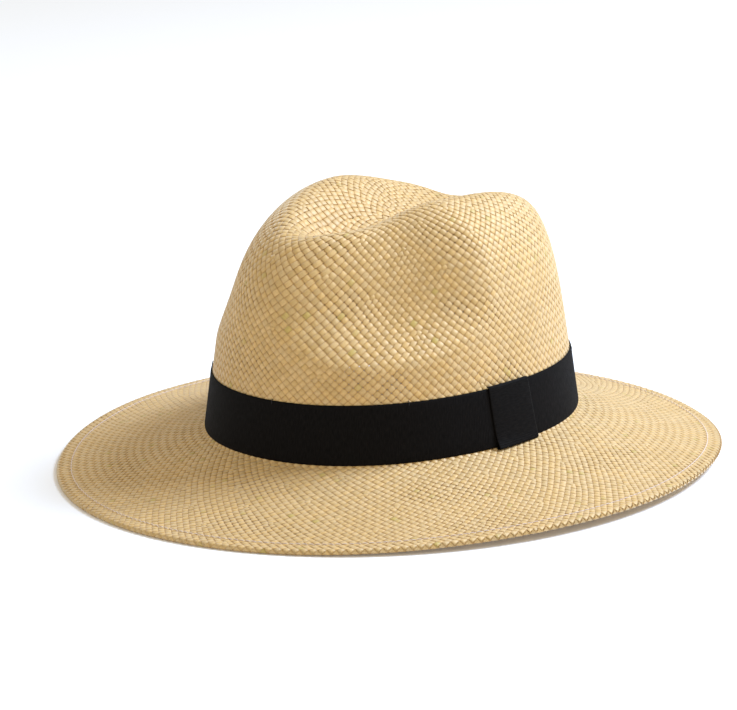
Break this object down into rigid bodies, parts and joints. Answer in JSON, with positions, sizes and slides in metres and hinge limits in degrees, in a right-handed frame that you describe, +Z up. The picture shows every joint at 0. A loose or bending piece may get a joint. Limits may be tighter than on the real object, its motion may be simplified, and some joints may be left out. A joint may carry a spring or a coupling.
{
  "type": "panama hat",
  "caption": "Wide-brimmed hat of plain-woven paper straw with a creased crown, a black ribbon band with a flat tab, and a sewn sweatband.",
  "frame": {"origin": "centre of the plane that the front and back of the brim rest on", "axes": "+X towards the wearer's front, +Y towards the wearer's left, +Z up"},
  "size_m": [0.353, 0.3204, 0.1382],
  "materials": {
    "straw": "woven flat paper straw, slightly satin",
    "ribbon": "black grosgrain",
    "lining": "matt ribbed cotton tape",
    "hem_thread": "polyester thread",
    "black_thread": "polyester thread",
    "reed": "drawn monofilament",
    "label": "blank woven satin"
  },
  "bodies": {
    "root": {"straw_body": "straw", "brim_edge_reed": "reed", "hem_needle_thread": "hem_thread", "hem_bobbin_thread": "hem_thread", "hat_band": "ribbon", "band_tab": "ribbon", "band_tacks": "black_thread", "sweatband": "lining", "sweatband_thread": "hem_thread", "sweatband_seam_thread": "hem_thread", "size_label": "label"}
  },
  "joints": []
}
